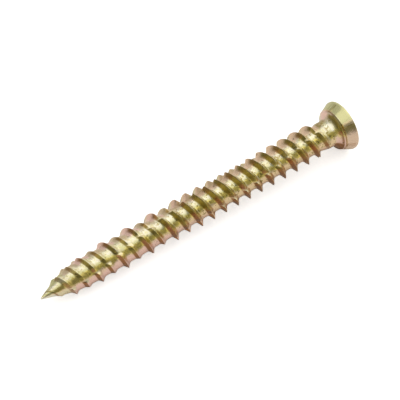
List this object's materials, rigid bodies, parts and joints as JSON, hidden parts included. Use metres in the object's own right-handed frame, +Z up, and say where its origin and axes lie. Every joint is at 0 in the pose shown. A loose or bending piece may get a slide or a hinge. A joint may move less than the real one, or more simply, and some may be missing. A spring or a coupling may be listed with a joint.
{
  "type": "window frame screw",
  "caption": "Long yellow-plated frame screw with a coarse notched thread, a sharp point and a flat countersunk head with a six-lobe recess.",
  "frame": {"origin": "centre of the screw's box, at the level of the ground it lies on", "axes": "+X along the length towards the head, +Z up; the axis of the screw rises towards the head by the small angle at which it lies"},
  "size_m": [0.0722, 0.0104, 0.0105],
  "materials": {
    "yellow_zinc_steel": "yellow-passivated zinc plating over steel, glossy, with olive and pink tints"
  },
  "bodies": {
    "root": {"frame_screw": "yellow_zinc_steel"}
  },
  "joints": []
}
